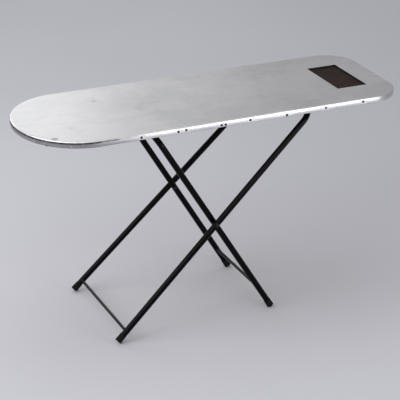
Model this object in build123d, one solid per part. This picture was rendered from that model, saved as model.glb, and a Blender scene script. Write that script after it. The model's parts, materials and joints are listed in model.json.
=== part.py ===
"""Folding ironing board: a wooden board clad in sheet aluminium on two crossed tubular steel leg frames.

Millimetres. +X runs along the board, from the round nose (-X) to the square end (+X), +Z is up, and the
origin is on the floor under the middle of the board. The board stands erect, with its legs spread.
"""

import math
import os

from build123d import *

# ---- board ----
BOARD_LENGTH = 1200.0
BOARD_WIDTH = 427.0
BOARD_HEIGHT = 680.0  # floor to the ironing surface
NOSE_DEPTH = 188.5  # the nose is half an ellipse, this deep along X
CORNER_RADIUS = 104.0  # the two corners of the square end
CORE_THICKNESS = 19.0
SHEET = 0.8  # aluminium sheet over the top
LIP = 6.0  # height of the top sheet's turned-down edge
ROLL_RADIUS = 4.5  # outside radius of that edge
BAND = 0.7  # aluminium strip nailed round the side
BAND_FLANGE = 12.0  # part of the strip folded under the board
BAND_TUCK = 1.4  # the strip reaches this far up behind the lip
BAND_FOLD_RADIUS = 1.6
SEAM_X = -21.5  # where the two lengths of strip butt
SEAM_GAP = 0.4

# ---- edge nails ----
NAIL_HEAD_RADIUS = 3.0
NAIL_HEAD_HEIGHT = 0.7
NAIL_SHANK_RADIUS = 0.8
NAIL_LENGTH = 16.0
NAIL_DEPTH = 13.5  # usual depth of a nail below the ironing surface
SEAM_NAIL_OFFSET = 6.5  # from the seam to the nail on either side of it
# The other nails along a side, as (x, depth below the ironing surface): they were set by eye.
SIDE_NAILS = (
    (-283.0, 12.2),
    (-167.0, 12.6),
    (-142.0, 11.2),
    (66.0, 11.8),
    (188.0, 14.6),
    (320.0, 11.6),
    (449.0, 10.8),
)
END_NAIL_Y = 63.5
NOSE_NAIL_ANGLES = (115.0, 150.0, 210.0, 245.0)  # round the nose's ellipse, degrees

# ---- iron rest ----
REST_CENTRE_X = 471.4
REST_LENGTH = 101.6
REST_WIDTH = 208.0
REST_DEPTH = 6.5  # from the ironing surface down to the pad
REST_CORNER = 1.5
TRAY_WALL = 0.8
PAD_THICKNESS = 3.0
PAD_GAP = 0.3

# ---- battens under the board ----
BATTEN_THICKNESS = 8.0
BATTEN_LENGTH = 250.0  # across the board, so that it passes between the legs
BATTEN_EDGE = 1.5
HINGE_BATTEN_WIDTH = 84.0
CROSS_BATTEN_WIDTH = 44.0
CROSS_BATTENS = {"middle_batten": 40.0, "end_batten": 471.0}

# ---- leg frames ----
TUBE_RADIUS = 9.5
TUBE_WALL = 1.2
BEND_RADIUS = 45.0
RUNNING_GAP = 0.1
OUTER_ANGLE = 43.7  # slope of each frame from the floor, degrees
INNER_ANGLE = 58.55
HINGE_X = 303.0  # the outer frame's top bar turns here
SLIDE_BAR_X = -213.0  # the inner frame's top bar rests here
SLIDE_BAR_DROP = 24.0  # below the underside of the board
OUTER_FOOT_HALF = 193.0
OUTER_TOP_HALF = 157.0
INNER_FOOT_HALF = 159.8
INNER_TOP_HALF = 144.2

# ---- foot rods and ferrules ----
ROD_RADIUS = 4.75
OUTER_ROD_UP = 40.0  # up the leg from its foot
INNER_ROD_UP = 83.0
FERRULE_RADIUS = 11.5
FERRULE_LENGTH = 26.0
FERRULE_SOLE = 4.0
FERRULE_ROUND = 2.0
FERRULE_BEAD = 0.8

# ---- crossing pivots ----
BOLT_RADIUS = 3.0
BOLT_HEAD_RADIUS = 6.0
BOLT_HEAD_HEIGHT = 3.2
BOLT_HEAD_GAP = 0.3  # the head is square to the bolt, and the leg leans a little
PIVOT_RUNNING_GAP = 0.05
SPACER_RADIUS = 7.0
SPACER_PLAY = 0.6
WASHER_RADIUS = 7.0
WASHER_THICKNESS = 1.2
WASHER_PLAY = 0.3
NUT_ACROSS_FLATS = 10.0
NUT_HEIGHT = 5.0
BOLT_PAST_NUT = 1.0

# ---- saddles that hold the hinge bar ----
SADDLE_Y = 85.0
SADDLE_WIDTH = 20.0
SADDLE_THICKNESS = 2.0
SADDLE_FOOT = 18.0

# ---- guide straps and bar seats for the sliding bar ----
STRAP_Y = 60.0
STRAP_WIDTH = 20.0
STRAP_THICKNESS = 3.0
STRAP_FOOT = 26.0
STRAP_START_X = -200.0
STRAP_MIDDLE_X = -365.0
STRAP_END_X = -523.0
STRAP_START_DROP = 38.2  # upper face of the strap below the board's underside
STRAP_MIDDLE_DROP = 24.0
STRAP_END_DROP = 31.6
SEAT_Y = 85.0
SEAT_WIDTH = 22.0
SEAT_LENGTH = 52.0
SEAT_GAP = 0.3
SEAT_SCREW_INSETS = (8.0, 28.0)  # from the end of a seat that is away from the bar

# ---- wood screws ----
SCREW_HEAD_RADIUS = 4.0
SCREW_HEAD_HEIGHT = 2.2
SCREW_RADIUS = 1.8
SCREW_GRIP = 13.0  # threaded length in the wood of the board
SLOT_WIDTH = 1.0
SLOT_DEPTH = 0.9
SCREW_INSET = 11.0  # from the end of a batten's width to its screws

CORE_INSET = SHEET + BAND
CORE_TOP = BOARD_HEIGHT - SHEET
UNDERSIDE = CORE_TOP - CORE_THICKNESS
BATTEN_BOTTOM = UNDERSIDE - BATTEN_THICKNESS
HALF_LENGTH = BOARD_LENGTH / 2
HALF_WIDTH = BOARD_WIDTH / 2
NOSE_X = NOSE_DEPTH - HALF_LENGTH
HINGE_Z = BATTEN_BOTTOM - TUBE_RADIUS - RUNNING_GAP
SLIDE_BAR_Z = UNDERSIDE - SLIDE_BAR_DROP


def board_face(inset):
    """The board's outline in plan, drawn in by inset all round."""
    depth = NOSE_DEPTH - inset
    half = HALF_WIDTH - inset
    end = HALF_LENGTH - inset
    radius = CORNER_RADIUS - inset
    nose = EllipticalCenterArc((NOSE_X, 0), depth, half, 90, arc_size=180)
    front = Line((NOSE_X, -half), (end - radius, -half))
    front_corner = CenterArc((end - radius, radius - half), radius, -90, 90)
    square_end = Line((end, radius - half), (end, half - radius))
    back_corner = CenterArc((end - radius, half - radius), radius, 0, 90)
    back = Line((end - radius, half), (NOSE_X, half))
    return make_face([nose, front, front_corner, square_end, back_corner, back])


def board_slab(inset, bottom, top):
    """A slab with the board's outline between two heights."""
    return extrude(Pos(0, 0, bottom) * board_face(inset), top - bottom)


def round_edges(solid, z, radius):
    """Rounds the edges of a solid that lie at height z."""
    edges = solid.edges().filter_by_position(Axis.Z, z, z)
    return fillet(edges, radius)


def rest_block(grow, bottom, top):
    """The iron rest's rectangle, grown by grow all round, between two heights."""
    outline = RectangleRounded(REST_LENGTH + 2 * grow, REST_WIDTH + 2 * grow, REST_CORNER + grow)
    return extrude(Pos(REST_CENTRE_X, 0, bottom) * outline, top - bottom)


def cylinder_between(start, end, radius):
    """A round bar from one point to another."""
    start = Vector(*start)
    end = Vector(*end)
    along = end - start
    return extrude(Plane(start, z_dir=along) * Circle(radius), along.length)


# ---- the board's shell and core ----


def top_skin():
    """Sheet over the top, with a rolled edge and the opening of the iron rest."""
    outside = round_edges(board_slab(0, BOARD_HEIGHT - LIP, BOARD_HEIGHT), BOARD_HEIGHT, ROLL_RADIUS)
    inside = board_slab(SHEET, BOARD_HEIGHT - LIP, CORE_TOP)
    inside = round_edges(inside, CORE_TOP, ROLL_RADIUS - SHEET)
    return outside - inside - rest_block(0, CORE_TOP, BOARD_HEIGHT)


def edge_band():
    """The whole nailed strip: an upright side and a flange folded under the board."""
    top = BOARD_HEIGHT - LIP + BAND_TUCK
    bottom = UNDERSIDE - BAND
    outside = round_edges(board_slab(SHEET, bottom, top), bottom, BAND_FOLD_RADIUS)
    inside = round_edges(board_slab(CORE_INSET, UNDERSIDE, top), UNDERSIDE, BAND_FOLD_RADIUS - BAND)
    return outside - inside - board_slab(SHEET + BAND_FLANGE, bottom, UNDERSIDE)


def board_core(holes):
    """The wooden panel, with the pocket of the iron rest and the holes of its fastenings."""
    core = board_slab(CORE_INSET, UNDERSIDE, CORE_TOP)
    core = round_edges(core, CORE_TOP, ROLL_RADIUS - CORE_INSET)
    core = round_edges(core, UNDERSIDE, BAND_FOLD_RADIUS - BAND)
    pocket_floor = BOARD_HEIGHT - REST_DEPTH - PAD_THICKNESS - TRAY_WALL
    return core - rest_block(TRAY_WALL, pocket_floor, CORE_TOP) - holes


def rest_tray():
    """Pressed steel tray that lines the pocket."""
    floor = BOARD_HEIGHT - REST_DEPTH - PAD_THICKNESS
    return rest_block(TRAY_WALL, floor - TRAY_WALL, CORE_TOP) - rest_block(0, floor, CORE_TOP)


def rest_pad():
    """Heat-proof pad that lies in the tray."""
    bottom = BOARD_HEIGHT - REST_DEPTH - PAD_THICKNESS
    return rest_block(-PAD_GAP, bottom, bottom + PAD_THICKNESS)


# ---- edge nails ----


def nail_places():
    """Where each edge nail enters the strip, as (point, outward direction)."""
    half = HALF_WIDTH - SHEET
    end = HALF_LENGTH - SHEET
    usual = BOARD_HEIGHT - NAIL_DEPTH
    along = [(x, BOARD_HEIGHT - depth) for x, depth in SIDE_NAILS]
    along += [(SEAM_X + sign * SEAM_NAIL_OFFSET, usual) for sign in (-1, 1)]
    places = []
    for side in (-1, 1):
        places += [((x, side * half, z), (0, side, 0)) for x, z in along]
        places.append(((end, side * END_NAIL_Y, usual), (1, 0, 0)))
    depth = NOSE_DEPTH - SHEET
    for angle in NOSE_NAIL_ANGLES:
        cosine = math.cos(math.radians(angle))
        sine = math.sin(math.radians(angle))
        point = (NOSE_X + depth * cosine, half * sine, usual)
        places.append((point, (cosine / depth, sine / half, 0)))
    return places


def dome(radius, height):
    """A shallow dome that stands on the XY plane."""
    sphere_radius = (radius**2 + height**2) / (2 * height)
    ball = Pos(0, 0, height - sphere_radius) * Sphere(sphere_radius)
    return ball & (Pos(0, 0, height / 2) * Box(4 * radius, 4 * radius, height))


def edge_nail(point, outward):
    """One domed nail, driven square to the strip."""
    shank = Pos(0, 0, -NAIL_LENGTH / 2) * Cylinder(NAIL_SHANK_RADIUS, NAIL_LENGTH)
    return Plane(point, z_dir=outward) * (dome(NAIL_HEAD_RADIUS, NAIL_HEAD_HEIGHT) + shank)


# ---- wood screws ----


def screw(x, y, z):
    """A slotted round-head screw driven upwards, with the underside of its head at z."""
    head = Cylinder(SCREW_HEAD_RADIUS, SCREW_HEAD_HEIGHT)
    head = fillet(head.edges().filter_by(GeomType.CIRCLE).sort_by(Axis.Z)[0], SCREW_HEAD_HEIGHT / 2)
    slot_z = SLOT_DEPTH / 2 - SCREW_HEAD_HEIGHT / 2
    head -= Pos(0, 0, slot_z) * Box(3 * SCREW_HEAD_RADIUS, SLOT_WIDTH, SLOT_DEPTH)
    length = UNDERSIDE + SCREW_GRIP - z
    shank = Pos(0, 0, (length + SCREW_HEAD_HEIGHT) / 2) * Cylinder(SCREW_RADIUS, length)
    return Pos(x, y, z - SCREW_HEAD_HEIGHT / 2) * (head + shank)


def batten_screw_places(x, width):
    """Two screws near each end of a batten."""
    reach = BATTEN_LENGTH / 2 - SCREW_INSET
    offset = width / 2 - SCREW_INSET
    return [(x + sx * offset, sy * reach, BATTEN_BOTTOM) for sx in (-1, 1) for sy in (-1, 1)]


def saddle_screw_places():
    """One screw in each foot of each saddle."""
    offset = TUBE_RADIUS + RUNNING_GAP + (SADDLE_THICKNESS + SADDLE_FOOT) / 2
    z = BATTEN_BOTTOM - SADDLE_THICKNESS
    return [(HINGE_X + sx * offset, sy * SADDLE_Y, z) for sx in (-1, 1) for sy in (-1, 1)]


def strap_screw_places():
    """One screw in each foot of each guide strap."""
    ends = (STRAP_START_X + STRAP_FOOT / 2, STRAP_END_X - STRAP_FOOT / 2)
    z = UNDERSIDE - STRAP_THICKNESS
    return [(x, side * STRAP_Y, z) for x in ends for side in (-1, 1)]


def seat_screw_places():
    """Two screws in each bar seat."""
    far = SLIDE_BAR_X + SEAT_LENGTH
    return [(far - inset, side * SEAT_Y, SLIDE_BAR_Z) for inset in SEAT_SCREW_INSETS for side in (-1, 1)]


# ---- fittings under the board ----


def batten(x, width):
    """A hardwood strip across the underside."""
    block = Pos(x, 0, UNDERSIDE - BATTEN_THICKNESS / 2) * Box(width, BATTEN_LENGTH, BATTEN_THICKNESS)
    edges = block.edges().filter_by_position(Axis.Z, BATTEN_BOTTOM, BATTEN_BOTTOM)
    return chamfer(edges, BATTEN_EDGE)


def saddle(side):
    """A strip bent under the hinge bar, with a foot on each side of it."""
    inner = TUBE_RADIUS + RUNNING_GAP
    outer = inner + SADDLE_THICKNESS
    rise = BATTEN_BOTTOM - HINGE_Z
    reach = outer + SADDLE_FOOT
    shape = Circle(outer) + Pos(0, rise / 2) * Rectangle(2 * outer, rise)
    shape += Pos(0, rise - SADDLE_THICKNESS / 2) * Rectangle(2 * reach, SADDLE_THICKNESS)
    shape &= Pos(0, rise - reach) * Rectangle(2 * reach, 2 * reach)
    shape -= Circle(inner) + Pos(0, rise / 2) * Rectangle(2 * inner, rise)
    place = Plane((HINGE_X, side * SADDLE_Y, HINGE_Z), x_dir=(1, 0, 0), z_dir=(0, -1, 0))
    return extrude(place * shape, SADDLE_WIDTH / 2, both=True)


def guide_strap(side):
    """A bowed strap that carries the sliding bar under the board, with a foot at each end."""
    half = STRAP_THICKNESS / 2
    start = (STRAP_START_X + half, -STRAP_START_DROP - half)
    middle = (STRAP_MIDDLE_X, -STRAP_MIDDLE_DROP - half)
    end = (STRAP_END_X - half, -STRAP_END_DROP - half)
    near_foot = Polyline((STRAP_START_X + STRAP_FOOT, -half), (start[0], -half), start)
    bow = ThreePointArc(start, middle, end)
    far_foot = Polyline(end, (end[0], -half), (STRAP_END_X - STRAP_FOOT, -half))
    ribbon = trace([near_foot, bow, far_foot], STRAP_THICKNESS)
    place = Plane((0, side * STRAP_Y, UNDERSIDE), x_dir=(1, 0, 0), z_dir=(0, -1, 0))
    return extrude(place * ribbon, STRAP_WIDTH / 2, both=True)


def bar_seat(side):
    """A block with a quarter-round seat, which the sliding bar is pressed into by the load."""
    block = Box(SEAT_LENGTH, SEAT_WIDTH, SLIDE_BAR_DROP)
    block = Pos(SLIDE_BAR_X + SEAT_LENGTH / 2, side * SEAT_Y, UNDERSIDE - SLIDE_BAR_DROP / 2) * block
    bar = (SLIDE_BAR_X, side * SEAT_Y - SEAT_WIDTH, SLIDE_BAR_Z)
    bar_end = (SLIDE_BAR_X, side * SEAT_Y + SEAT_WIDTH, SLIDE_BAR_Z)
    return block - cylinder_between(bar, bar_end, TUBE_RADIUS + SEAT_GAP)


# ---- leg frames ----


class LegFrame:
    """Places of one U-shaped frame. Its own plane has +Y across and its second axis up the slope."""

    def __init__(self, bar_x, bar_z, angle, direction, foot_half, top_half):
        slope = math.radians(angle)
        self.cosine = math.cos(slope)
        self.sine = math.sin(slope)
        self.direction = direction  # +1 where the feet are on the +X side of the top bar
        self.bar_x = bar_x
        self.bar_z = bar_z
        self.foot_half = foot_half
        self.top_half = top_half
        ring = FERRULE_RADIUS - FERRULE_ROUND
        self.foot_z = ring * self.cosine + FERRULE_ROUND * (1 - self.sine)
        self.length = (bar_z - self.foot_z) / self.sine
        self.foot_x = bar_x + direction * self.length * self.cosine
        self.up = Vector(-direction * self.cosine, 0, self.sine)
        normal = Vector(0, 1, 0).cross(self.up)
        self.plane = Plane((self.foot_x, 0, self.foot_z), x_dir=(0, 1, 0), z_dir=normal)

    def half_at(self, distance):
        """Half the frame's width, at a distance up from its feet."""
        return self.foot_half + (self.top_half - self.foot_half) * distance / self.length

    def point(self, side, distance):
        """A point on a leg's centre line, at a distance up from the feet."""
        return self.plane.from_local_coords((side * self.half_at(distance), distance, 0))

    def sweep_ring(self, outer, inner):
        """A tube of the given radii along the whole U, from ferrule sole to ferrule sole."""
        start = FERRULE_SOLE
        half = self.half_at(start)
        corners = [(-half, start), (-self.top_half, self.length), (self.top_half, self.length), (half, start)]
        path = self.plane * FilletPolyline(*corners, radius=BEND_RADIUS)
        ring = Circle(outer)
        if inner:
            ring -= Circle(inner)
        return sweep(Plane(path @ 0, z_dir=path % 0) * ring, path=path)


outer_frame = LegFrame(HINGE_X, HINGE_Z, OUTER_ANGLE, -1, OUTER_FOOT_HALF, OUTER_TOP_HALF)
inner_frame = LegFrame(SLIDE_BAR_X, SLIDE_BAR_Z, INNER_ANGLE, 1, INNER_FOOT_HALF, INNER_TOP_HALF)


def crossing():
    """Where the two frames cross, seen from the side, as (x, z)."""
    outer_slope = outer_frame.sine / outer_frame.cosine
    inner_slope = inner_frame.sine / inner_frame.cosine
    rise = HINGE_Z - SLIDE_BAR_Z - outer_slope * (HINGE_X - SLIDE_BAR_X)
    x = SLIDE_BAR_X - rise / (outer_slope + inner_slope)
    return x, SLIDE_BAR_Z - inner_slope * (x - SLIDE_BAR_X)


PIVOT_X, PIVOT_Z = crossing()


def pivot_half(frame):
    """Half the width of a frame at the crossing."""
    return frame.half_at((PIVOT_Z - frame.foot_z) / frame.sine)


def leg_tube(frame, hole_radius):
    """The bent tube, drilled through both legs for the pivot bolts."""
    tube = frame.sweep_ring(TUBE_RADIUS, TUBE_RADIUS - TUBE_WALL)
    half = frame.foot_half + 2 * TUBE_RADIUS
    drill = cylinder_between((PIVOT_X, -half, PIVOT_Z), (PIVOT_X, half, PIVOT_Z), hole_radius)
    return tube - drill


def foot_rod(frame, distance):
    """The cross rod near the feet, coped to the inner sides of the legs."""
    rod = cylinder_between(frame.point(-1, distance), frame.point(1, distance), ROD_RADIUS)
    for side in (-1, 1):
        leg = cylinder_between(frame.point(side, 0), frame.point(side, 2 * distance), TUBE_RADIUS)
        rod -= leg
    return rod


def ferrule(frame, side):
    """A rubber cup over the end of a leg, with a bead round its mouth."""
    along = frame.point(side, FERRULE_LENGTH) - frame.point(side, 0)
    body = Pos(0, 0, FERRULE_LENGTH / 2) * Cylinder(FERRULE_RADIUS, FERRULE_LENGTH)
    sole_edge = body.edges().filter_by(GeomType.CIRCLE).sort_by(Axis.Z)[0]
    body = fillet(sole_edge, FERRULE_ROUND)
    mouth = FERRULE_LENGTH - FERRULE_BEAD
    body += Pos(0, 0, mouth) * Torus(FERRULE_RADIUS - FERRULE_BEAD / 2, FERRULE_BEAD)
    bore_length = FERRULE_LENGTH - FERRULE_SOLE + 2 * FERRULE_BEAD
    body -= Pos(0, 0, FERRULE_SOLE + bore_length / 2) * Cylinder(TUBE_RADIUS, bore_length)
    return Plane(frame.point(side, 0), z_dir=along) * body


# ---- crossing pivots ----


def across(side, distance):
    """A plane across the pivot's axis at a distance from the middle, facing out."""
    return Plane((PIVOT_X, side * distance, PIVOT_Z), x_dir=(1, 0, 0), z_dir=(0, side, 0))


def pivot_stack():
    """Distances from the middle of each part on the bolt, from the nut outwards."""
    inner = pivot_half(inner_frame)
    outer = pivot_half(outer_frame)
    washer = inner - TUBE_RADIUS - WASHER_PLAY - WASHER_THICKNESS
    return {
        "head": outer + TUBE_RADIUS + BOLT_HEAD_GAP,
        "spacer_in": inner + TUBE_RADIUS + SPACER_PLAY / 2,
        "spacer_out": outer - TUBE_RADIUS - SPACER_PLAY / 2,
        "washer": washer,
        "nut": washer - NUT_HEIGHT,
        "tip": washer - NUT_HEIGHT - BOLT_PAST_NUT,
    }


def pivot_bolt(side):
    """A domed bolt through both legs, with its head outside."""
    stack = pivot_stack()
    shank = across(side, stack["tip"]) * Pos(0, 0, (stack["head"] - stack["tip"]) / 2)
    shank *= Cylinder(BOLT_RADIUS, stack["head"] - stack["tip"])
    return shank + across(side, stack["head"]) * dome(BOLT_HEAD_RADIUS, BOLT_HEAD_HEIGHT)


def ring_on_bolt(side, start, thickness, radius):
    """A washer or spacer on the pivot bolt."""
    ring = Circle(radius) - Circle(BOLT_RADIUS)
    return extrude(across(side, start) * ring, thickness)


def pivot_nut(side):
    """A hexagon nut on the inner end of the bolt."""
    stack = pivot_stack()
    hexagon = RegularPolygon(NUT_ACROSS_FLATS / 2, 6, major_radius=False) - Circle(BOLT_RADIUS)
    return extrude(across(side, stack["nut"]) * hexagon, NUT_HEIGHT)


# ---- everything together ----


def build():
    """Every node of the board, by name."""
    sides = {"front": -1, "back": 1}
    nails = Compound([edge_nail(*place) for place in nail_places()])
    groups = {
        "batten_screws": batten_screw_places(HINGE_X, HINGE_BATTEN_WIDTH),
        "saddle_screws": saddle_screw_places(),
        "strap_screws": strap_screw_places(),
        "seat_screws": seat_screw_places(),
    }
    for x in CROSS_BATTENS.values():
        groups["batten_screws"] += batten_screw_places(x, CROSS_BATTEN_WIDTH)
    nodes = {name: Compound([screw(*place) for place in places]) for name, places in groups.items()}
    screws = Compound([solid for group in nodes.values() for solid in group.solids()])

    band = edge_band() - nails
    half_box = Pos(0, 0, UNDERSIDE) * Box(2 * BOARD_LENGTH, 2 * BOARD_WIDTH, 4 * CORE_THICKNESS)
    nodes["edge_nails"] = nails
    nodes["top_skin"] = top_skin()
    nodes["edge_band_nose"] = band & Pos(SEAM_X - SEAM_GAP / 2 - BOARD_LENGTH, 0, 0) * half_box
    nodes["edge_band_square_end"] = band & Pos(SEAM_X + SEAM_GAP / 2 + BOARD_LENGTH, 0, 0) * half_box
    nodes["board_core"] = board_core(nails + screws)
    nodes["iron_rest_tray"] = rest_tray()
    nodes["iron_rest_pad"] = rest_pad()
    nodes["hinge_batten"] = batten(HINGE_X, HINGE_BATTEN_WIDTH) - screws
    for name, x in CROSS_BATTENS.items():
        nodes[name] = batten(x, CROSS_BATTEN_WIDTH) - screws

    nodes["outer_leg_frame"] = leg_tube(outer_frame, BOLT_RADIUS)
    nodes["inner_leg_frame"] = leg_tube(inner_frame, BOLT_RADIUS + PIVOT_RUNNING_GAP)
    nodes["outer_foot_rod"] = foot_rod(outer_frame, OUTER_ROD_UP)
    nodes["inner_foot_rod"] = foot_rod(inner_frame, INNER_ROD_UP)
    stack = pivot_stack()
    for word, side in sides.items():
        nodes[f"saddle_{word}"] = saddle(side) - screws
        nodes[f"guide_strap_{word}"] = guide_strap(side) - screws
        nodes[f"bar_seat_{word}"] = bar_seat(side) - screws
        nodes[f"outer_ferrule_{word}"] = ferrule(outer_frame, side)
        nodes[f"inner_ferrule_{word}"] = ferrule(inner_frame, side)
        nodes[f"pivot_bolt_{word}"] = pivot_bolt(side)
        spacer = stack["spacer_out"] - stack["spacer_in"]
        nodes[f"pivot_spacer_{word}"] = ring_on_bolt(side, stack["spacer_in"], spacer, SPACER_RADIUS)
        nodes[f"pivot_washer_{word}"] = ring_on_bolt(side, stack["washer"], WASHER_THICKNESS, WASHER_RADIUS)
        nodes[f"pivot_nut_{word}"] = pivot_nut(side)
    return nodes


if __name__ == "__main__":
    os.makedirs("parts", exist_ok=True)
    for node, shape in build().items():
        export_step(shape, f"parts/{node}.step")
    print(f"pivot at x {PIVOT_X:.2f}, z {PIVOT_Z:.2f}; hinge bar at x {HINGE_X:.2f}, z {HINGE_Z:.2f}")
    print(f"feet at x {outer_frame.foot_x:.1f} and {inner_frame.foot_x:.1f}")
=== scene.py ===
import json
import math

import bmesh
import bpy
from mathutils import Matrix, Vector, noise


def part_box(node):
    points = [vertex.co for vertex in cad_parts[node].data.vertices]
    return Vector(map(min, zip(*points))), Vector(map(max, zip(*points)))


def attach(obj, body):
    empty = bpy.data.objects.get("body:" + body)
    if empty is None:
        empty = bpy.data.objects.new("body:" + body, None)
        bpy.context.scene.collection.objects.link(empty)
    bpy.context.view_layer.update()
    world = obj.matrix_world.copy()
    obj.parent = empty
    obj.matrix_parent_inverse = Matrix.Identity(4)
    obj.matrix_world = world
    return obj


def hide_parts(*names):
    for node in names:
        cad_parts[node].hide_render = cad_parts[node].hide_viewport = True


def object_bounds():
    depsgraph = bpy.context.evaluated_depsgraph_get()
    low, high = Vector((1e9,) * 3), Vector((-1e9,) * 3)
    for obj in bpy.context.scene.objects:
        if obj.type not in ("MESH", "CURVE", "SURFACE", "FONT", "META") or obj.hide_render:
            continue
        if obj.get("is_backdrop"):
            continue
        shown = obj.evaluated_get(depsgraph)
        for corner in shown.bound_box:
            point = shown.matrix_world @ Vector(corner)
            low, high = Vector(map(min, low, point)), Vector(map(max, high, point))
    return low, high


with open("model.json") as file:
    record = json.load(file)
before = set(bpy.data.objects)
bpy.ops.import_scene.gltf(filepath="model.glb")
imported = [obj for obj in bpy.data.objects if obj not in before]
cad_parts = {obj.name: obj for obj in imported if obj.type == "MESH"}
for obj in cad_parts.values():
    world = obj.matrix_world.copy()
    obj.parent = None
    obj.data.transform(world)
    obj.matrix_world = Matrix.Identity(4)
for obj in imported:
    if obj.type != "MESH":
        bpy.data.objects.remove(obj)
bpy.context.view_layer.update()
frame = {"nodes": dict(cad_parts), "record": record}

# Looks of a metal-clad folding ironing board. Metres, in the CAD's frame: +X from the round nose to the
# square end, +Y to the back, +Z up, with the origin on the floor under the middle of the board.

MM = 0.001
scene = bpy.context.scene
scene.view_settings.view_transform = "Standard"

# ---- sizes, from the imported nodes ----
SKIN_LOW, SKIN_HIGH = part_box("top_skin")
TOP = SKIN_HIGH.z
HALF_LENGTH = SKIN_HIGH.x
HALF_WIDTH = SKIN_HIGH.y
LIP_Z = SKIN_LOW.z
BAND_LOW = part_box("edge_band_square_end")[0]
STRIP_Z = BAND_LOW.z
PAD_LOW, PAD_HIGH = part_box("iron_rest_pad")
NOSE_DEPTH = 188.5 * MM  # the nose is half an ellipse, this deep along X
CORNER_RADIUS = 104 * MM  # the two corners of the square end
ROLL = 4.5 * MM  # radius of the top sheet's rolled edge
SHEET = 0.8 * MM  # gauge of the top sheet
BAND = 0.7 * MM  # gauge of the nailed strip
NOSE_X = NOSE_DEPTH - HALF_LENGTH
CORNER_X = HALF_LENGTH - CORNER_RADIUS
END_HALF = HALF_WIDTH - CORNER_RADIUS  # half the straight part of the square end
REST_X = (0.4206, 0.5222)  # ends of the iron rest's opening
REST_HALF = 0.104  # half its width
SEAM_X = (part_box("edge_band_nose")[1].x + BAND_LOW.x) / 2


def link(obj):
    scene.collection.objects.link(obj)
    return obj


# ---- camera ----
camera = link(bpy.data.objects.new("camera", bpy.data.cameras.new("camera")))
turn = Matrix.Rotation(math.radians(-24.303), 4, "Z")
tilt = Matrix.Rotation(math.radians(90 - 23.566), 4, "X")
roll = Matrix.Rotation(math.radians(0.136), 4, "Z")
camera.matrix_world = Matrix.Translation((-1.957, -4.3305, 2.409)) @ turn @ tilt @ roll
camera.data.lens = 148.5
camera.data.clip_end = 200
scene.camera = camera


# Darkened spots on the top sheet at two of the dents, and painted shade on the nose strip by the lap, near
# its bottom edge: (place, radius, depth of the tone).
DARK_SPOTS = (
    ((-0.526, -0.151, TOP), 0.015, 0.7),
    ((-0.311, 0.099, TOP), 0.012, 0.12),
    ((-0.566, -0.121, STRIP_Z + 0.003), 0.016, 0.9),
    ((-0.548, -0.146, STRIP_Z + 0.001), 0.012, 0.8),
)

# ---- materials ----


class Paint:
    """A material whose node tree is written from top to bottom."""

    def __init__(self, name, metallic=0.0, **uniform):
        self.material = bpy.data.materials.new(name)
        self.material.use_nodes = True
        self.tree = self.material.node_tree
        self.shader = self.tree.nodes["Principled BSDF"]
        self.shader.inputs["Metallic"].default_value = metallic
        for key, value in uniform.items():
            self.shader.inputs[key.replace("_", " ")].default_value = value
        self.place = self.add("ShaderNodeTexCoord").outputs["Object"]

    def add(self, kind, **settings):
        node = self.tree.nodes.new(kind)
        for key, value in settings.items():
            setattr(node, key, value)
        return node

    def feed(self, socket, value):
        if isinstance(value, bpy.types.NodeSocket):
            self.tree.links.new(value, socket)
        elif value is not None:
            socket.default_value = value

    def stretch(self, scale, turned=0.0):
        node = self.add("ShaderNodeMapping")
        self.feed(node.inputs["Vector"], self.place)
        node.inputs["Scale"].default_value = scale
        node.inputs["Rotation"].default_value = (0, 0, math.radians(turned))
        return node.outputs["Vector"]

    def noise(self, scale, detail=3.0, rough=0.5, warp=0.0, where=None):
        node = self.add("ShaderNodeTexNoise")
        self.feed(node.inputs["Vector"], where or self.place)
        node.inputs["Scale"].default_value = scale
        node.inputs["Detail"].default_value = detail
        node.inputs["Roughness"].default_value = rough
        node.inputs["Distortion"].default_value = warp
        return node.outputs["Fac"]

    def cells(self, scale):
        node = self.add("ShaderNodeTexVoronoi", feature="F1")
        self.feed(node.inputs["Vector"], self.place)
        node.inputs["Scale"].default_value = scale
        return node.outputs["Distance"]

    def span(self, value, low, high, to_low=0.0, to_high=1.0):
        node = self.add("ShaderNodeMapRange", clamp=True, interpolation_type="SMOOTHSTEP")
        self.feed(node.inputs["Value"], value)
        for key, number in zip(("From Min", "From Max", "To Min", "To Max"), (low, high, to_low, to_high)):
            node.inputs[key].default_value = number
        return node.outputs["Result"]

    def math(self, operation, a, b=None):
        node = self.add("ShaderNodeMath", operation=operation)
        self.feed(node.inputs[0], a)
        self.feed(node.inputs[1], b)
        return node.outputs["Value"]

    def mix(self, share, a, b):
        node = self.add("ShaderNodeMix", data_type="RGBA")
        self.feed(node.inputs["Factor"], share)
        sockets = [s for s in node.inputs if s.type == "RGBA"]
        for socket, value in zip(sockets, (a, b)):
            self.feed(socket, (*value, 1) if isinstance(value, tuple) else value)
        return [s for s in node.outputs if s.type == "RGBA"][0]

    def near(self, place, radius):
        """One at a place, falling to nothing at a distance."""
        node = self.add("ShaderNodeVectorMath", operation="DISTANCE")
        self.feed(node.inputs[0], self.place)
        node.inputs[1].default_value = place
        return self.span(node.outputs["Value"], radius, 0.2 * radius)

    def axis(self, letter):
        node = self.add("ShaderNodeSeparateXYZ")
        self.feed(node.inputs[0], self.place)
        return node.outputs[letter]

    def finish(self, colour, roughness, height=None, depth=0.0005):
        self.feed(self.shader.inputs["Base Color"], colour)
        self.feed(self.shader.inputs["Roughness"], roughness)
        if height is not None:
            bump = self.add("ShaderNodeBump")
            bump.inputs["Strength"].default_value = 1.0
            bump.inputs["Distance"].default_value = depth
            self.feed(bump.inputs["Height"], height)
            self.feed(self.shader.inputs["Normal"], bump.outputs["Normal"])
        return self.material


def total(paint, *terms):
    """A sum of (value, weight) terms."""
    result = None
    for value, weight in terms:
        term = paint.math("MULTIPLY", value, weight)
        result = term if result is None else paint.math("ADD", result, term)
    return result


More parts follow.
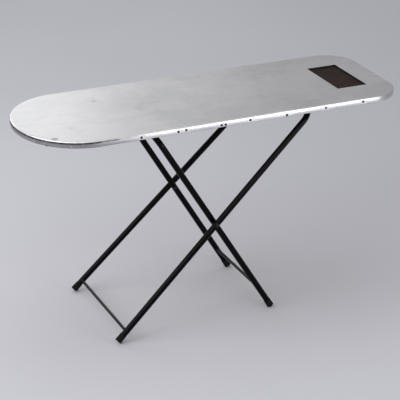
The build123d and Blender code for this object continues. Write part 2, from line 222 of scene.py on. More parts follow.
def aluminium(name, gloss, nose_shade=0.0):
    """Satin sheet aluminium: cloudy oxide, rubbing marks, fine scratches, painted shade under the lip,
    along the strip's bottom edge and, if asked, round the nose.
    """
    p = Paint(name, metallic=1.0)
    clouds = p.noise(4.0, 4.0, 0.55, 0.4)
    blotches = p.noise(17.0, 5.0, 0.55, 0.8)
    rubbing = p.noise(1.0, 4.0, 0.6, where=p.stretch((4, 60, 30)))
    grain = p.noise(900.0, 2.0)
    scratch_a = p.span(p.noise(1.0, 1.5, where=p.stretch((7, 420, 60), 7)), 0.66, 0.69)
    scratch_b = p.span(p.noise(1.0, 1.5, where=p.stretch((260, 9, 60), -19)), 0.67, 0.70)
    scratches = p.math("MAXIMUM", scratch_a, scratch_b)
    tone = total(p, (clouds, 0.5), (blotches, 0.3), (rubbing, 0.2))
    colour = p.mix(p.span(tone, 0.38, 0.60), (0.71, 0.715, 0.725), (0.81, 0.81, 0.82))
    colour = p.mix(p.math("MULTIPLY", scratches, 0.3), colour, (0.9, 0.9, 0.9))
    stains = p.span(p.noise(9.0, 6.0, 0.62, 1.2), 0.58, 0.74)
    colour = p.mix(p.math("MULTIPLY", stains, 0.3), colour, (0.5, 0.49, 0.475))
    # darkened spots; those on the nose strip are painted shade
    for place, radius, depth in DARK_SPOTS:
        patch = p.math("MULTIPLY", p.near(place, radius), p.span(blotches, 0.3, 0.55, 0.4, depth))
        colour = p.mix(patch, colour, (0.12, 0.118, 0.115))
    # painted shade: darker under the lip and along the bottom of the strip, mostly round the nose
    height = p.axis("Z")
    ragged = p.span(p.noise(60.0, 4.0), 0.25, 0.55, 0.55, 1.0)
    nose = p.span(p.axis("X"), -0.22, -0.44, 0.04, 1.0)
    # painted shade: the metal's colour is darkened round the nose
    if nose_shade:
        colour = p.mix(p.math("MULTIPLY", nose, nose_shade), colour, (0.30, 0.30, 0.305))
    above_strip = p.span(height, LIP_Z - 0.0042, LIP_Z - 0.001)
    below_roll = p.span(height, LIP_Z + 0.0040, LIP_Z + 0.0016)
    under_lip = p.math("MULTIPLY", above_strip, below_roll)
    bottom = p.span(height, STRIP_Z + 0.0026, STRIP_Z + 0.0006, 0.0, 0.8)
    rim_shade = p.math("MULTIPLY", p.math("MAXIMUM", under_lip, bottom), p.math("MULTIPLY", nose, ragged))
    # darkens the colour there with painted shade
    colour = p.mix(rim_shade, colour, (0.055, 0.054, 0.052))
    rough = total(p, (clouds, 0.08), (blotches, 0.07), (rubbing, 0.05), (scratches, 0.08), (rim_shade, 0.2))
    rough = p.math("ADD", rough, gloss - 0.1)
    relief = total(p, (grain, 0.10), (blotches, 0.55), (rubbing, 0.07), (scratches, -0.25))
    return p.finish(colour, rough, relief, 0.00025)


def enamel(name, base, gloss, chips, mirror):
    """Brushed-on black enamel over steel, with dust, orange peel and a few chips."""
    p = Paint(name, Specular_IOR_Level=mirror)
    patches = p.noise(16.0, 4.0, 0.55)
    peel = p.noise(170.0, 2.0)
    streaks = p.noise(60.0, 3.0, 0.6, 0.5)
    chip = p.span(p.noise(95.0, 5.0, 0.65, 0.8), chips, chips + 0.02)
    colour = p.mix(patches, tuple(0.5 * c for c in base), tuple(1.6 * c for c in base))
    colour = p.mix(chip, colour, (0.03, 0.022, 0.018))
    rough = total(p, (patches, 0.10), (streaks, 0.08), (chip, 0.35))
    rough = p.math("ADD", rough, gloss)
    height = total(p, (peel, 0.5), (streaks, 0.4), (chip, -1.2))
    return p.finish(colour, rough, height, 0.0001)


def bare_wood(name, pale, dark, along, plank=0.0):
    """Planed wood with long grain along one axis, pores, and a few darker rings."""
    p = Paint(name, Specular_IOR_Level=0.35)
    grain = {"X": (1.6, 26, 26), "Y": (26, 1.6, 26)}[along]
    pores = {"X": (14, 620, 620), "Y": (620, 14, 620)}[along]
    rings = p.add("ShaderNodeTexWave", wave_type="BANDS", bands_direction="Y" if along == "X" else "X")
    p.feed(rings.inputs["Vector"], p.stretch(tuple(0.35 * g for g in grain)))
    rings.inputs["Scale"].default_value = 1.7
    rings.inputs["Distortion"].default_value = 9.0
    rings.inputs["Detail"].default_value = 3.0
    rings.inputs["Detail Scale"].default_value = 1.6
    bands = p.span(rings.outputs["Fac"], 0.35, 0.95)
    fibre = p.noise(3.0, 6.0, 0.65, 0.3, where=p.stretch(grain))
    pits = p.span(p.noise(1.0, 2.0, where=p.stretch(pores)), 0.6, 0.72)
    age = p.noise(7.0, 4.0, 0.6, 0.5)
    tone = total(p, (bands, 0.14), (fibre, 0.6), (age, 0.36))
    if plank:
        across = p.math("DIVIDE", p.axis("Y" if along == "X" else "X"), plank)
        whole = p.math("FLOOR", across)
        shade = p.math("FRACT", p.math("MULTIPLY", p.math("SINE", p.math("MULTIPLY", whole, 12.9)), 43.7))
        tone = p.math("ADD", tone, p.math("MULTIPLY", p.math("SUBTRACT", shade, 0.5), 0.3))
    colour = p.mix(p.span(tone, 0.25, 0.85), pale, dark)
    colour = p.mix(p.math("MULTIPLY", pits, 0.5), colour, tuple(0.45 * c for c in dark))
    relief = total(p, (fibre, 0.8), (pits, -0.6), (bands, -0.06))
    if plank:
        seam = p.span(p.math("ABSOLUTE", p.math("SUBTRACT", p.math("FRACT", across), 0.5)), 0.488, 0.496)
        colour = p.mix(p.math("MULTIPLY", seam, 0.8), colour, tuple(0.3 * c for c in dark))
        relief = p.math("SUBTRACT", relief, seam)
    rough = p.math("ADD", total(p, (fibre, 0.2), (pits, 0.15)), 0.5)
    return p.finish(colour, rough, relief, 0.0003)


def rubber(name):
    p = Paint(name, Specular_IOR_Level=0.1)
    bloom = p.noise(70.0, 5.0, 0.6)
    pits = p.noise(520.0, 3.0)
    scuffs = p.span(p.noise(130.0, 4.0, 0.7, 1.0), 0.58, 0.72)
    colour = p.mix(bloom, (0.004, 0.004, 0.0042), (0.011, 0.0105, 0.010))
    colour = p.mix(p.math("MULTIPLY", scuffs, 0.3), colour, (0.035, 0.033, 0.030))
    rough = p.math("ADD", total(p, (bloom, 0.2), (scuffs, 0.12)), 0.6)
    return p.finish(colour, rough, total(p, (pits, 0.6), (bloom, 0.5)), 0.0002)


def rest_board(name):
    """Dark brown heat-proof board: redder to the front, with scorched streaks along X."""
    p = Paint(name, Specular_IOR_Level=0.12)
    fibre = p.noise(1.0, 5.0, 0.65, 0.6, where=p.stretch((16, 240, 60)))
    patches = p.noise(26.0, 4.0, 0.6, 0.7)
    specks = p.span(p.noise(420.0, 3.0), 0.56, 0.66)
    to_front = p.span(p.axis("Y"), 0.09, -0.07, 0.0, 0.85)
    redness = p.math("ADD", to_front, p.span(patches, 0.3, 0.7, -0.2, 0.25))
    colour = p.mix(redness, (0.014, 0.012, 0.010), (0.024, 0.0095, 0.007))
    colour = p.mix(p.span(fibre, 0.42, 0.68, 0.0, 0.75), colour, (0.060, 0.036, 0.028))
    colour = p.mix(p.span(patches, 0.52, 0.72, 0.0, 0.7), colour, (0.013, 0.011, 0.010))
    colour = p.mix(p.math("MULTIPLY", specks, 0.25), colour, (0.10, 0.085, 0.075))
    rough = p.math("ADD", total(p, (fibre, 0.22), (patches, 0.15)), 0.5)
    return p.finish(colour, rough, total(p, (fibre, 1.0), (specks, 0.3)), 0.0004)


def tray_enamel(name):
    """Dark stoved enamel, rusting at the edges."""
    p = Paint(name)
    patches = p.noise(45.0, 5.0, 0.6, 0.5)
    rust = p.span(patches, 0.52, 0.66)
    grit = p.noise(600.0, 3.0)
    colour = p.mix(rust, (0.011, 0.010, 0.0095), (0.055, 0.024, 0.014))
    rough = p.math("ADD", total(p, (patches, 0.2), (rust, 0.2)), 0.3)
    return p.finish(colour, rough, total(p, (grit, 0.4), (rust, 0.6)), 0.0002)


def zinc(name):
    """Dull zinc plate with faint spangle and dark handling marks."""
    p = Paint(name, metallic=1.0)
    spangle = p.cells(160.0)
    clouds = p.noise(38.0, 4.0, 0.6)
    marks = p.span(p.noise(120.0, 5.0, 0.6, 0.8), 0.55, 0.7)
    colour = p.mix(total(p, (spangle, 0.5), (clouds, 0.6)), (0.42, 0.43, 0.44), (0.62, 0.63, 0.64))
    colour = p.mix(p.math("MULTIPLY", marks, 0.6), colour, (0.2, 0.18, 0.16))
    rough = p.math("ADD", total(p, (clouds, 0.2), (spangle, 0.12), (marks, 0.15)), 0.25)
    return p.finish(colour, rough, total(p, (clouds, 0.6), (spangle, 0.3)), 0.0001)


def nail_steel(name):
    """Steel darkened by age, rust round the rim."""
    p = Paint(name, Specular_IOR_Level=0.15)
    rust = p.noise(520.0, 5.0, 0.65, 0.5)
    colour = p.mix(p.span(rust, 0.35, 0.7), (0.012, 0.011, 0.011), (0.035, 0.022, 0.016))
    rough = p.span(rust, 0.3, 0.7, 0.4, 0.75)
    return p.finish(colour, rough, rust, 0.0002)


MATERIALS = {
    "aluminium_sheet": aluminium("aluminium_top", 0.36),
    "nail_steel": nail_steel("nail_steel_aged"),
    "pine": bare_wood("pine_bare", (0.60, 0.42, 0.24), (0.38, 0.22, 0.10), "X", 0.107),
    "batten_wood": bare_wood("batten_bare", (0.42, 0.27, 0.15), (0.22, 0.12, 0.06), "Y"),
    "rest_board": rest_board("rest_board_brown"),
    "tray_enamel": tray_enamel("tray_enamel_dark"),
    "black_enamel": enamel("leg_enamel", (0.0012, 0.0012, 0.0014), 0.06, 0.70, 0.09),
    "black_rubber": rubber("ferrule_rubber"),
    "bolt_black": enamel("bolt_enamel", (0.005, 0.005, 0.0052), 0.2, 0.66, 0.3),
    "zinc_steel": zinc("zinc_dull"),
}
ROD_ENAMEL = enamel("rod_enamel", (0.0015, 0.0015, 0.0017), 0.03, 0.72, 0.14)
# the third argument paints shade round the nose of the strip
STRIP_METAL = aluminium("aluminium_edge", 0.32, 0.85)

slot_of = {part["node"]: part["material_slot"] for part in frame["record"]["subparts"]}
for name, node in frame["nodes"].items():
    for place in node.material_slots:
        if name.endswith("foot_rod"):
            place.material = ROD_ENAMEL
        elif name.startswith("pivot_"):
            place.material = MATERIALS["bolt_black"]
        else:
            place.material = MATERIALS[slot_of[name]]


# ---- meshes ----


def keep_mesh(name, bm, material, body, nodes, sharp=35.0):
    """Turns a bmesh into a piece, smooth but for edges sharper than an angle."""
    bmesh.ops.recalc_face_normals(bm, faces=bm.faces)
    for face in bm.faces:
        face.smooth = True
    for edge in bm.edges:
        edge.smooth = len(edge.link_faces) == 2 and edge.calc_face_angle(0.0) < math.radians(sharp)
    mesh = bpy.data.meshes.new(name)
    bm.to_mesh(mesh)
    bm.free()
    mesh.materials.append(material)
    piece = link(bpy.data.objects.new(name, mesh))
    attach(piece, body)
    if nodes:
        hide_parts(*nodes)
    return piece


def wander(x, y, z, scale, seed):
    """Smooth noise between about -1 and 1."""
    return noise.noise(Vector((x * scale + seed, y * scale - seed, z * scale + 2 * seed)))


def steps(start, end, count):
    return [start + (end - start) * i / count for i in range(count + 1)]


# Mesh divisions along half the outline of the top sheet.
NOSE_STEPS = 56
SIDE_STEPS = 128  # up to the iron rest
REST_STEPS = 12  # from there to the corner
CORNER_STEPS = (6, 26)  # to the far end of the iron rest, and round the rest of the corner


def half_outline():
    """Stations from the nose's tip to the end of the back corner, as (kind, value)."""
    stations = [("nose", a) for a in steps(math.pi, math.pi / 2, NOSE_STEPS)]
    xs = steps(NOSE_X, REST_X[0], SIDE_STEPS)[1:] + steps(REST_X[0], CORNER_X, REST_STEPS)[1:]
    stations += [("side", x) for x in xs]
    rest_angle = math.acos((REST_X[1] - CORNER_X) / (CORNER_RADIUS - ROLL))
    stations += [("corner", a) for a in steps(math.pi / 2, rest_angle, CORNER_STEPS[0])[1:]]
    stations += [("corner", a) for a in steps(rest_angle, 0, CORNER_STEPS[1])[1:]]
    return stations


def on_outline(station, side, inset):
    """The point of the outline at a station, drawn in by inset."""
    kind, value = station
    if kind == "nose":
        return (
            NOSE_X + (NOSE_DEPTH - inset) * math.cos(value),
            side * (HALF_WIDTH - inset) * math.sin(value),
        )
    if kind == "side":
        return value, side * (HALF_WIDTH - inset)
    if kind == "corner":
        radius = CORNER_RADIUS - inset
        return (
            CORNER_X + radius * math.cos(value),
            side * (END_HALF + radius * math.sin(value)),
        )
    return HALF_LENGTH - inset, value


HALF = half_outline()

# Shallow dents left by use: (x, y, radius, depth).
DENTS = (
    (-0.526, -0.151, 0.016, 0.5 * MM),
    (-0.311, 0.099, 0.013, 0.35 * MM),
    (-0.12, -0.13, 0.02, 0.3 * MM),
    (0.09, 0.06, 0.016, 0.3 * MM),
    (0.27, -0.09, 0.022, 0.3 * MM),
    (0.36, 0.12, 0.015, 0.25 * MM),
    (-0.44, 0.02, 0.018, 0.25 * MM),
    (0.47, -0.155, 0.014, 0.3 * MM),
)


LONG_WAVE = 0.22 * MM
SHORT_WAVE = 0.16 * MM
MOST_DROP = 0.7 * MM  # any more, and the wood would come through the sheet


def sheet_drop(x, y):
    """How far the sheet lies below a flat plane: it was dressed by hand over the wood."""
    long_wave = 0.5 + 0.5 * wander(x, 1.6 * y, 0, 3.1, 4.7)
    short_wave = 0.5 + 0.5 * wander(x, y, 0, 9.5, 11.3)
    drop = LONG_WAVE * long_wave + SHORT_WAVE * short_wave
    for dent_x, dent_y, radius, depth in DENTS:
        apart = math.hypot(x - dent_x, y - dent_y) / radius
        if apart < 1:
            drop += depth * (1 - apart * apart) ** 2
    return min(drop, MOST_DROP)


INNER_CELLS = 26  # across the middle of the sheet, as wide as the iron rest
OUTER_CELLS = 13  # from there to the edge, on each side
EDGE_WAVE = 0.12 * MM  # the lip is pressed in unevenly by up to twice this
INWARDS_ALONG = 0.75  # share of that pull along X, the board being long


def build_top_sheet():
    """The sheet over the board: flat top, opening for the iron rest, rolled edge and lip."""
    bm = bmesh.new()
    columns = []
    for index, station in enumerate(HALF):
        x, edge = on_outline(station, 1, ROLL)
        if index == 0:
            columns.append([bm.verts.new((x, 0, TOP))])
            continue
        inner = REST_HALF * min(1.0, edge / (HALF_WIDTH - ROLL))
        if x > CORNER_X:
            inner = REST_HALF
        outer = steps(inner, edge, OUTER_CELLS)[1:]
        ys = [-y for y in reversed(outer)] + steps(-inner, inner, INNER_CELLS) + outer
        columns.append([bm.verts.new((x, y, TOP)) for y in ys])
    rows = INNER_CELLS + 2 * OUTER_CELLS
    for j in range(rows):
        bm.faces.new((columns[0][0], columns[1][j], columns[1][j + 1]))
    for left, right in zip(columns[1:], columns[2:]):
        for j in range(rows):
            bm.faces.new((left[j], right[j], right[j + 1], left[j + 1]))
    gap = 1e-5
    hole = [
        f for f in bm.faces
        if REST_X[0] - gap < f.calc_center_median().x < REST_X[1] + gap
        and abs(f.calc_center_median().y) < REST_HALF + gap
    ]
    bmesh.ops.delete(bm, geom=hole, context="FACES")
    # the rolled edge, as rings round the flat part
    back = [c[-1] for c in columns]
    front = [c[0] for c in columns]
    end = columns[-1][::-1][1:-1]
    ring = back + end + front[::-1][:-1]
    places = [(s, 1) for s in HALF]
    places += [(None, v.co.y) for v in end]
    places += [(s, -1) for s in reversed(HALF[1:])]
    bends = steps(0, math.pi / 2, 9)[1:]
    profile = [(ROLL * (1 - math.sin(a)), TOP - ROLL * (1 - math.cos(a))) for a in bends]
    profile += [(0.0, LIP_Z + 0.0006), (0.0001, LIP_Z)]  # the lip's cut edge is slightly rounded
    for inset, z in profile:
        new = []
        for station, side in places:
            if station is None:
                x, y = HALF_LENGTH - inset, side
            else:
                x, y = on_outline(station, side, inset)
            pull = EDGE_WAVE * (1 + wander(x, y, z, 12, 2.9)) * (TOP - z) / (TOP - LIP_Z)
            length = math.hypot(INWARDS_ALONG * x, y) or 1.0
            new.append(bm.verts.new((x - pull * INWARDS_ALONG * x / length, y - pull * y / length, z)))
        for i in range(len(ring)):
            k = (i + 1) % len(ring)
            bm.faces.new((ring[i], ring[k], new[k], new[i]))
        ring = new
    for vert in bm.verts:
        share = min(1.0, max(0.0, (vert.co.z - LIP_Z) / (TOP - LIP_Z)))
        vert.co.z -= sheet_drop(vert.co.x, vert.co.y) * share**2
    bmesh.ops.recalc_face_normals(bm, faces=bm.faces)
    if sum(f.normal.z for f in bm.faces) < 0:
        bmesh.ops.reverse_faces(bm, faces=bm.faces)
    return thicken(bm, SHEET)


def thicken(bm, thickness):
    """A closed sheet from a surface, thickened inwards."""
    mesh = bpy.data.meshes.new("sheet")
    bm.to_mesh(mesh)
    bm.free()
    holder = link(bpy.data.objects.new("sheet", mesh))
    solid = holder.modifiers.new("thickness", "SOLIDIFY")
    solid.thickness = thickness
    solid.offset = -1
    evaluated = holder.evaluated_get(bpy.context.evaluated_depsgraph_get())
    result = bmesh.new()
    result.from_mesh(evaluated.to_mesh())
    evaluated.to_mesh_clear()
    bpy.data.objects.remove(holder)
    return result


keep_mesh(
    "top_sheet", build_top_sheet(), MATERIALS["aluminium_sheet"], "board", ["top_skin"]
)


# ---- the nailed strip round the side ----
SIDE_NAILS = (
    (-283, 12.2),
    (-167, 12.6),
    (-142, 11.2),
    (66, 11.8),
    (188, 14.6),
    (320, 11.6),
    (449, 10.8),
    (-28, 13.5),
    (-15, 13.5),
)  # x, and depth below the ironing surface, in mm
NOSE_NAILS = (115, 150, 210, 245)  # round the nose's ellipse, in degrees
END_NAIL_Y = 63.5 * MM
NAIL_DROP = 13.5 * MM
STRIP_INSET = SHEET
STRIP_FOLD = 2.2 * MM  # outside radius of the fold at the strip's bottom edge
STRIP_INNER_FOLD = 1.5 * MM
STRIP_UNDER = 12 * MM  # part folded under the board
STRIP_TUCK = 1.2 * MM  # part hidden behind the lip
FACE_STEPS = 11  # divisions of the strip's face, from lip to fold
FOLD_WAVE = 0.2 * MM
BULGE_HELD = 0.22  # how far the strip stands off at a nail, in mm,
BULGE_FREE = 0.34  # how much more between nails,
BULGE_WAVER = 0.1  # and how much this varies
NAIL_REACH = 0.035  # a nail holds the strip down over this distance
MOST_STAND_OFF = 0.75 * MM  # keeps the strip inside the board's outline
LAP_ANGLE = math.radians(210)  # on the nose, where one end of the strip laps the other
LAP_STEP = 0.34 * MM


def nail_places():
    """(point, outward direction) of each nail, on the face of the strip."""
    half = HALF_WIDTH - STRIP_INSET
    places = []
    for side in (-1, 1):
        for x, drop in SIDE_NAILS:
            places.append((Vector((x * MM, side * half, TOP - drop * MM)), Vector((0, side, 0))))
        end = Vector((HALF_LENGTH - STRIP_INSET, side * END_NAIL_Y, TOP - NAIL_DROP))
        places.append((end, Vector((1, 0, 0))))
    depth = NOSE_DEPTH - STRIP_INSET
    for degrees in NOSE_NAILS:
        angle = math.radians(degrees)
        point = Vector((NOSE_X + depth * math.cos(angle), half * math.sin(angle), TOP - NAIL_DROP))
        places.append((point, Vector((math.cos(angle) / depth, math.sin(angle) / half, 0)).normalized()))
    return places


NAILS = nail_places()


def strip_bulge(x, y):
    """How far the strip stands off the wood at mid-height: least at a nail."""
    nearest = min(math.hypot(x - p.x, y - p.y) for p, _ in NAILS)
    free = min(1.0, nearest / NAIL_REACH)
    waver = BULGE_WAVER * wander(x, y, 0, 14, 3.3)
    return (BULGE_HELD + BULGE_FREE * free * free * (3 - 2 * free) + waver) * MM


def strip_profile(x, y, angle):
    """The strip's closed section at a station, as (inset, z) pairs."""
    bulge = strip_bulge(x, y)
    wave = FOLD_WAVE * wander(x, y, 0, 10, 8.1)
    lap = LAP_STEP if angle is not None and angle > LAP_ANGLE else 0.0
    fold_z = STRIP_Z + STRIP_FOLD
    outer = [
        (STRIP_INSET + 0.1 * MM, LIP_Z + STRIP_TUCK),
        (STRIP_INSET + 0.05 * MM, LIP_Z + 0.3 * MM),
    ]
    for step in range(1, FACE_STEPS + 1):
        share = step / FACE_STEPS
        z = LIP_Z + (fold_z - LIP_Z) * share
        swell = bulge * math.sin(math.pi * min(1.0, 0.12 + 0.88 * share))
        outer.append((STRIP_INSET - min(swell + lap * min(1.0, 5 * share), MOST_STAND_OFF), z))
    foot = outer[-1][0]
    for turn in steps(0, math.pi / 2, 5)[1:]:
        outer.append((foot + STRIP_FOLD * (1 - math.cos(turn)), fold_z - STRIP_FOLD * math.sin(turn)))
    outer.append((7.5 * MM, STRIP_Z))
    outer.append((STRIP_INSET + STRIP_UNDER, STRIP_Z))
    inner = [(STRIP_INSET + STRIP_UNDER, STRIP_Z + BAND), (3.2 * MM, STRIP_Z + BAND)]
    for turn in steps(math.pi / 2, 0, 3)[1:]:
        across = STRIP_INNER_FOLD * math.cos(turn)
        inner.append((STRIP_INSET + STRIP_FOLD - across, fold_z - STRIP_INNER_FOLD * math.sin(turn)))
    inner.append((STRIP_INSET + BAND, LIP_Z + STRIP_TUCK))
    return [(inset, z + wave * min(1.0, max(0.0, (LIP_Z - z) / 0.01))) for inset, z in outer + inner]


HALF_SEAM = 0.0002  # half the gap where the two lengths of strip butt
HALF_LAP = 0.0015  # half the angle over which the lap steps up
BY_A_NAIL = (-0.008, -0.004, 0.0, 0.004, 0.008)  # extra stations, from the nail


def strip_stations(nose):
    """Stations of one length of strip, in order along it, as (kind, value, side)."""
    near = [x * MM + dx for x, _ in SIDE_NAILS for dx in BY_A_NAIL]
    low, high = (NOSE_X, SEAM_X - HALF_SEAM) if nose else (SEAM_X + HALF_SEAM, CORNER_X)
    xs = steps(low, high, 60) + [x for x in near if low + 0.001 < x < high - 0.001]
    xs = sorted(set(round(x, 5) for x in xs))
    xs = [low] + [x for x in xs if low + 0.0008 < x < high - 0.0008] + [high]
    front = [("side", x, -1) for x in xs]
    back = [("side", x, 1) for x in xs]
    if nose:
        around = steps(1.5 * math.pi, 0.5 * math.pi, 96)[1:-1]
        lap = [LAP_ANGLE + HALF_LAP, LAP_ANGLE - HALF_LAP]
        around = sorted([a for a in around if abs(a - LAP_ANGLE) > 0.004] + lap, reverse=True)
        return front[::-1] + [("round", a, 1) for a in around] + back
    corner = steps(math.pi / 2, 0, 22)
    end = steps(-END_HALF, END_HALF, 30)[1:-1]
    return (
        front
        + [("corner", a, -1) for a in corner[1:]]
        + [("end", y, 1) for y in end]
        + [("corner", a, 1) for a in corner[::-1][:-1]]
        + back[::-1]
    )


def strip_place(kind, value, side, inset):
    if kind == "round":
        return NOSE_X + (NOSE_DEPTH - inset) * math.cos(value), (HALF_WIDTH - inset) * math.sin(value)
    return on_outline((kind, value), side, inset)


def build_strip(nose):
    """One length of the strip: its section carried along its stations, closed at both ends."""
    bm = bmesh.new()
    rings = []
    for kind, value, side in strip_stations(nose):
        x, y = strip_place(kind, value, side, 0)
        section = strip_profile(x, y, value if kind == "round" else None)
        rings.append([bm.verts.new((*strip_place(kind, value, side, inset), z)) for inset, z in section])
    count = len(rings[0])
    for near, far in zip(rings, rings[1:]):
        for i in range(count):
            k = (i + 1) % count
            bm.faces.new((near[i], near[k], far[k], far[i]))
    bm.faces.new(rings[0])
    bm.faces.new(rings[-1][::-1])
    return bm


for name, node, nose in (
    ("edge_strip_nose", "edge_band_nose", True),
    ("edge_strip_square_end", "edge_band_square_end", False),
):
    keep_mesh(name, build_strip(nose), STRIP_METAL, "board", [node])


# ---- turned pieces ----


def turned(bm, profile, foot, along, segments=24, ripple=0.0):
    """Adds a turned solid to a bmesh: profile is (distance along, radius) from axis to axis."""
    spin = along.to_track_quat("Z", "Y")
    rings = []
    for distance, radius in profile:
        if radius == 0:
            rings.append([bm.verts.new(foot + along * distance)])
            continue
        ring = []
        for i in range(segments):
            angle = 2 * math.pi * i / segments
            uneven = wander(math.cos(angle), math.sin(angle), distance * 100, 1.3, foot.x * 50)
            rim = radius * (1 + ripple * uneven)
            point = Vector((rim * math.cos(angle), rim * math.sin(angle), distance))
            ring.append(bm.verts.new(foot + spin @ point))
        rings.append(ring)
    for near, far in zip(rings, rings[1:]):
        for i in range(segments):
            k = (i + 1) % segments
            quad = [near[i % len(near)], near[k % len(near)], far[k % len(far)], far[i % len(far)]]
            bm.faces.new(list(dict.fromkeys(quad)))


# Profiles of turned pieces: (distance along the axis, radius), in mm.
NAIL_HEAD = [
    (-2.4, 0), (-2.4, 0.8), (-0.1, 0.8), (-0.1, 3.8),
    (0.25, 4.0), (0.45, 3.7), (0.64, 2.6), (0.72, 1.3), (0.74, 0),
]
SIDE_NAIL_COUNT = len(NAILS) - len(NOSE_NAILS)
for name, group, paint in (
    ("nail_heads_side", NAILS[:SIDE_NAIL_COUNT], MATERIALS["nail_steel"]),
    ("nail_heads_nose", NAILS[SIDE_NAIL_COUNT:], zinc("nail_bright")),
):
    bm = bmesh.new()
    for point, outward in group:
        turned(bm, [(a * MM, r * MM) for a, r in NAIL_HEAD], point, outward, 16, 0.06)
    keep_mesh(name, bm, paint, "board", ["edge_nails"], 50)

# Where the axis of each frame's back leg would meet its top bar.
HINGE_BAR = Vector((0.303, 0.157, 0.6426))
SLIDING_BAR = Vector((-0.213, 0.1442, 0.6362))
TUBE = 9.5 * MM  # radius of the leg tubes
HALF_FERRULE = 13  # in mm
FERRULE = [
    (0, 0), (0, 5.0), (0.4, 6.0), (0, 7.0), (0, 9.2), (0.25, 10.1), (0.8, 10.7), (1.6, 10.95), (2.6, 11.0),
    (4.6, 10.95), (5.3, 10.8), (5.7, 10.55), (9.0, 10.5), (9.4, 10.75), (10.2, 10.75), (10.6, 10.5),
    (12.4, 10.45), (12.8, 10.7), (13.6, 10.7), (14.0, 10.45), (22.8, 10.4), (23.3, 10.6), (24.2, 10.7),
    (25.2, 10.6), (25.8, 10.2), (25.7, 9.8), (25.0, 9.53), (4.2, 9.53), (4.0, 9.0), (4.0, 0),
]


def ferrule_middle(kind, end):
    low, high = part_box(f"{kind}_ferrule_{end}")
    return (low + high) / 2


def leg_axis(kind, side, centre):
    """Direction up a leg, from a point on its axis."""
    top = (HINGE_BAR if kind == "outer" else SLIDING_BAR).copy()
    top.y *= side
    return (top - centre).normalized()


for kind in ("outer", "inner"):
    for end, side in (("front", -1), ("back", 1)):
        middle = ferrule_middle(kind, end)
        along = leg_axis(kind, side, middle)
        bm = bmesh.new()
        foot = middle - along * HALF_FERRULE * MM
        turned(bm, [(a * MM, r * MM) for a, r in FERRULE], foot, along, 32, 0.004)
        keep_mesh(
            f"{kind}_cup_{end}", bm, MATERIALS["black_rubber"], f"{kind}_legs",
            [f"{kind}_ferrule_{end}"], 50,
        )

WELD = [(-1.5, 0), (-1.5, 6.6), (0.2, 6.7), (1.2, 6.3), (2.2, 5.6), (3.0, 5.1), (3.6, 4.6), (3.6, 0)]
for kind in ("outer", "inner"):
    low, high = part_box(f"{kind}_foot_rod")
    rod = (low + high) / 2
    bm = bmesh.new()
    for end, side in (("front", -1), ("back", 1)):
        slope = leg_axis(kind, side, ferrule_middle(kind, end))
        top = HINGE_BAR if kind == "outer" else SLIDING_BAR
        leg_y = side * top.y - slope.y * (top.z - rod.z) / slope.z
        start = Vector((rod.x, leg_y - side * TUBE, rod.z))
        turned(bm, [(a * MM, r * MM) for a, r in WELD], start, Vector((0, -side, 0)), 20, 0.12)
    keep_mesh(f"{kind}_rod_welds", bm, MATERIALS["black_enamel"], f"{kind}_legs", [], 50)


# ---- the pad of the iron rest ----


RIDGE_PITCH = 0.0052
RIDGE_DEPTH = 0.22 * MM
RIDGE_FADE = 0.004  # the ridges die out this near to the pad's edge
PAD_WAVE = 0.12 * MM
WORN_EDGE = 0.0012  # width of the worn border, and
WORN_DEPTH = 0.5 * MM  # how low it is at the very edge


def build_pad():
    """A pressed pad: shallow ridges along X, worn edges, flat underneath."""
    bm = bmesh.new()
    top = PAD_HIGH.z
    columns, rows = 48, 160
    xs = steps(PAD_LOW.x, PAD_HIGH.x, columns)
    ys = steps(PAD_LOW.y, PAD_HIGH.y, rows)
    grid = []
    for x in xs:
        line = []
        for y in ys:
            edge = min(x - xs[0], xs[-1] - x, y - ys[0], ys[-1] - y)
            ridge = 0.5 + 0.5 * math.cos(2 * math.pi * y / RIDGE_PITCH)
            drop = RIDGE_DEPTH * ridge * min(1.0, edge / RIDGE_FADE)
            drop += PAD_WAVE * (1 + wander(x, y, 0, 30, 6.1))
            drop += WORN_DEPTH * max(0.0, 1 - edge / WORN_EDGE)
            line.append(bm.verts.new((x, y, top - drop)))
        grid.append(line)
    for near, far in zip(grid, grid[1:]):
        for j in range(rows):
            bm.faces.new((near[j], far[j], far[j + 1], near[j + 1]))
    rim = grid[0][:-1] + [line[-1] for line in grid[:-1]]
    rim += grid[-1][:0:-1] + [line[0] for line in grid[:0:-1]]
    base = [bm.verts.new((v.co.x, v.co.y, PAD_LOW.z)) for v in rim]
    for i in range(len(rim)):
        k = (i + 1) % len(rim)
        bm.faces.new((rim[i], rim[k], base[k], base[i]))
    bm.faces.new(base)
    return bm


keep_mesh("rest_mat", build_pad(), MATERIALS["rest_board"], "board", ["iron_rest_pad"])


# ---- floor and light ----


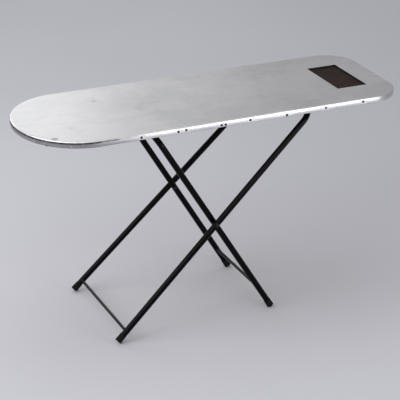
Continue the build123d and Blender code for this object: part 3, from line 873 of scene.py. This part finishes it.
def softbox(name, place, aim, width, height, watts):
    """A white lit panel at a place, turned to an aim."""
    data = bpy.data.lights.new(name, "AREA")
    data.shape = "RECTANGLE"
    data.size = width
    data.size_y = height
    data.energy = watts
    obj = link(bpy.data.objects.new(name, data))
    obj.location = place
    obj.rotation_euler = (Vector(aim) - Vector(place)).to_track_quat("-Z", "Y").to_euler()
    obj.visible_camera = False


# Overlapping cards behind the board brighten its top step by step towards the nose.
for number, (right_edge, width, watts) in enumerate(
    ((0.16, 1.6, 1.2), (0.30, 1.6, 0.75), (0.46, 1.7, 0.6), (0.92, 2.2, 1.5))
):
    place = (right_edge - width / 2, 1.5 + 0.05 * number, 1.34)
    softbox(f"card_back_{number}", place, (place[0], 0, 0.68), width, 0.9, watts)
softbox("card_low_right", (1.1, -2.4, 0.66), (0.1, -0.2, 0.66), 1.5, 0.9, 20)
softbox("overhead", (0.2, 0.6, 4.2), (0.2, 0.4, 0), 3.0, 3.0, 22)
softbox("far_floor", (0.6, 2.8, 3.2), (0.8, 6.5, 0), 3.0, 1.2, 34)
softbox("front_key", (-1.9, -2.8, 3.2), (-0.2, 0.2, 0.2), 3.0, 2.4, 36)
softbox("left_fill", (-2.8, -0.1, 2.2), (-0.3, 0.1, 0), 2.8, 2.2, 52)
softbox("back_high", (-0.6, 2.6, 1.75), (-0.4, 0, 0.4), 0.8, 0.5, 3.5)

FLOOR_HALF = 30

world = bpy.data.worlds.new("studio")
world.use_nodes = True
world.node_tree.nodes["Background"].inputs["Color"].default_value = (0.965, 0.965, 1.0, 1)
world.node_tree.nodes["Background"].inputs["Strength"].default_value = 0.40
scene.world = world

floor_paint = Paint("floor_paper", Specular_IOR_Level=0.2)
paper = floor_paint.noise(1.3, 3.0, 0.5)
floor_colour = floor_paint.mix(paper, (0.56, 0.56, 0.60), (0.60, 0.60, 0.645))
floor_material = floor_paint.finish(floor_colour, floor_paint.span(paper, 0.3, 0.7, 0.75, 0.85))
bm = bmesh.new()
bmesh.ops.create_grid(bm, x_segments=2, y_segments=2, size=FLOOR_HALF)
floor_mesh = bpy.data.meshes.new("floor")
bm.to_mesh(floor_mesh)
bm.free()
floor_mesh.materials.append(floor_material)
link(bpy.data.objects.new("floor", floor_mesh))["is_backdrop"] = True

# ---- the box round the shown pieces, floor left out ----
low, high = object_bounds()
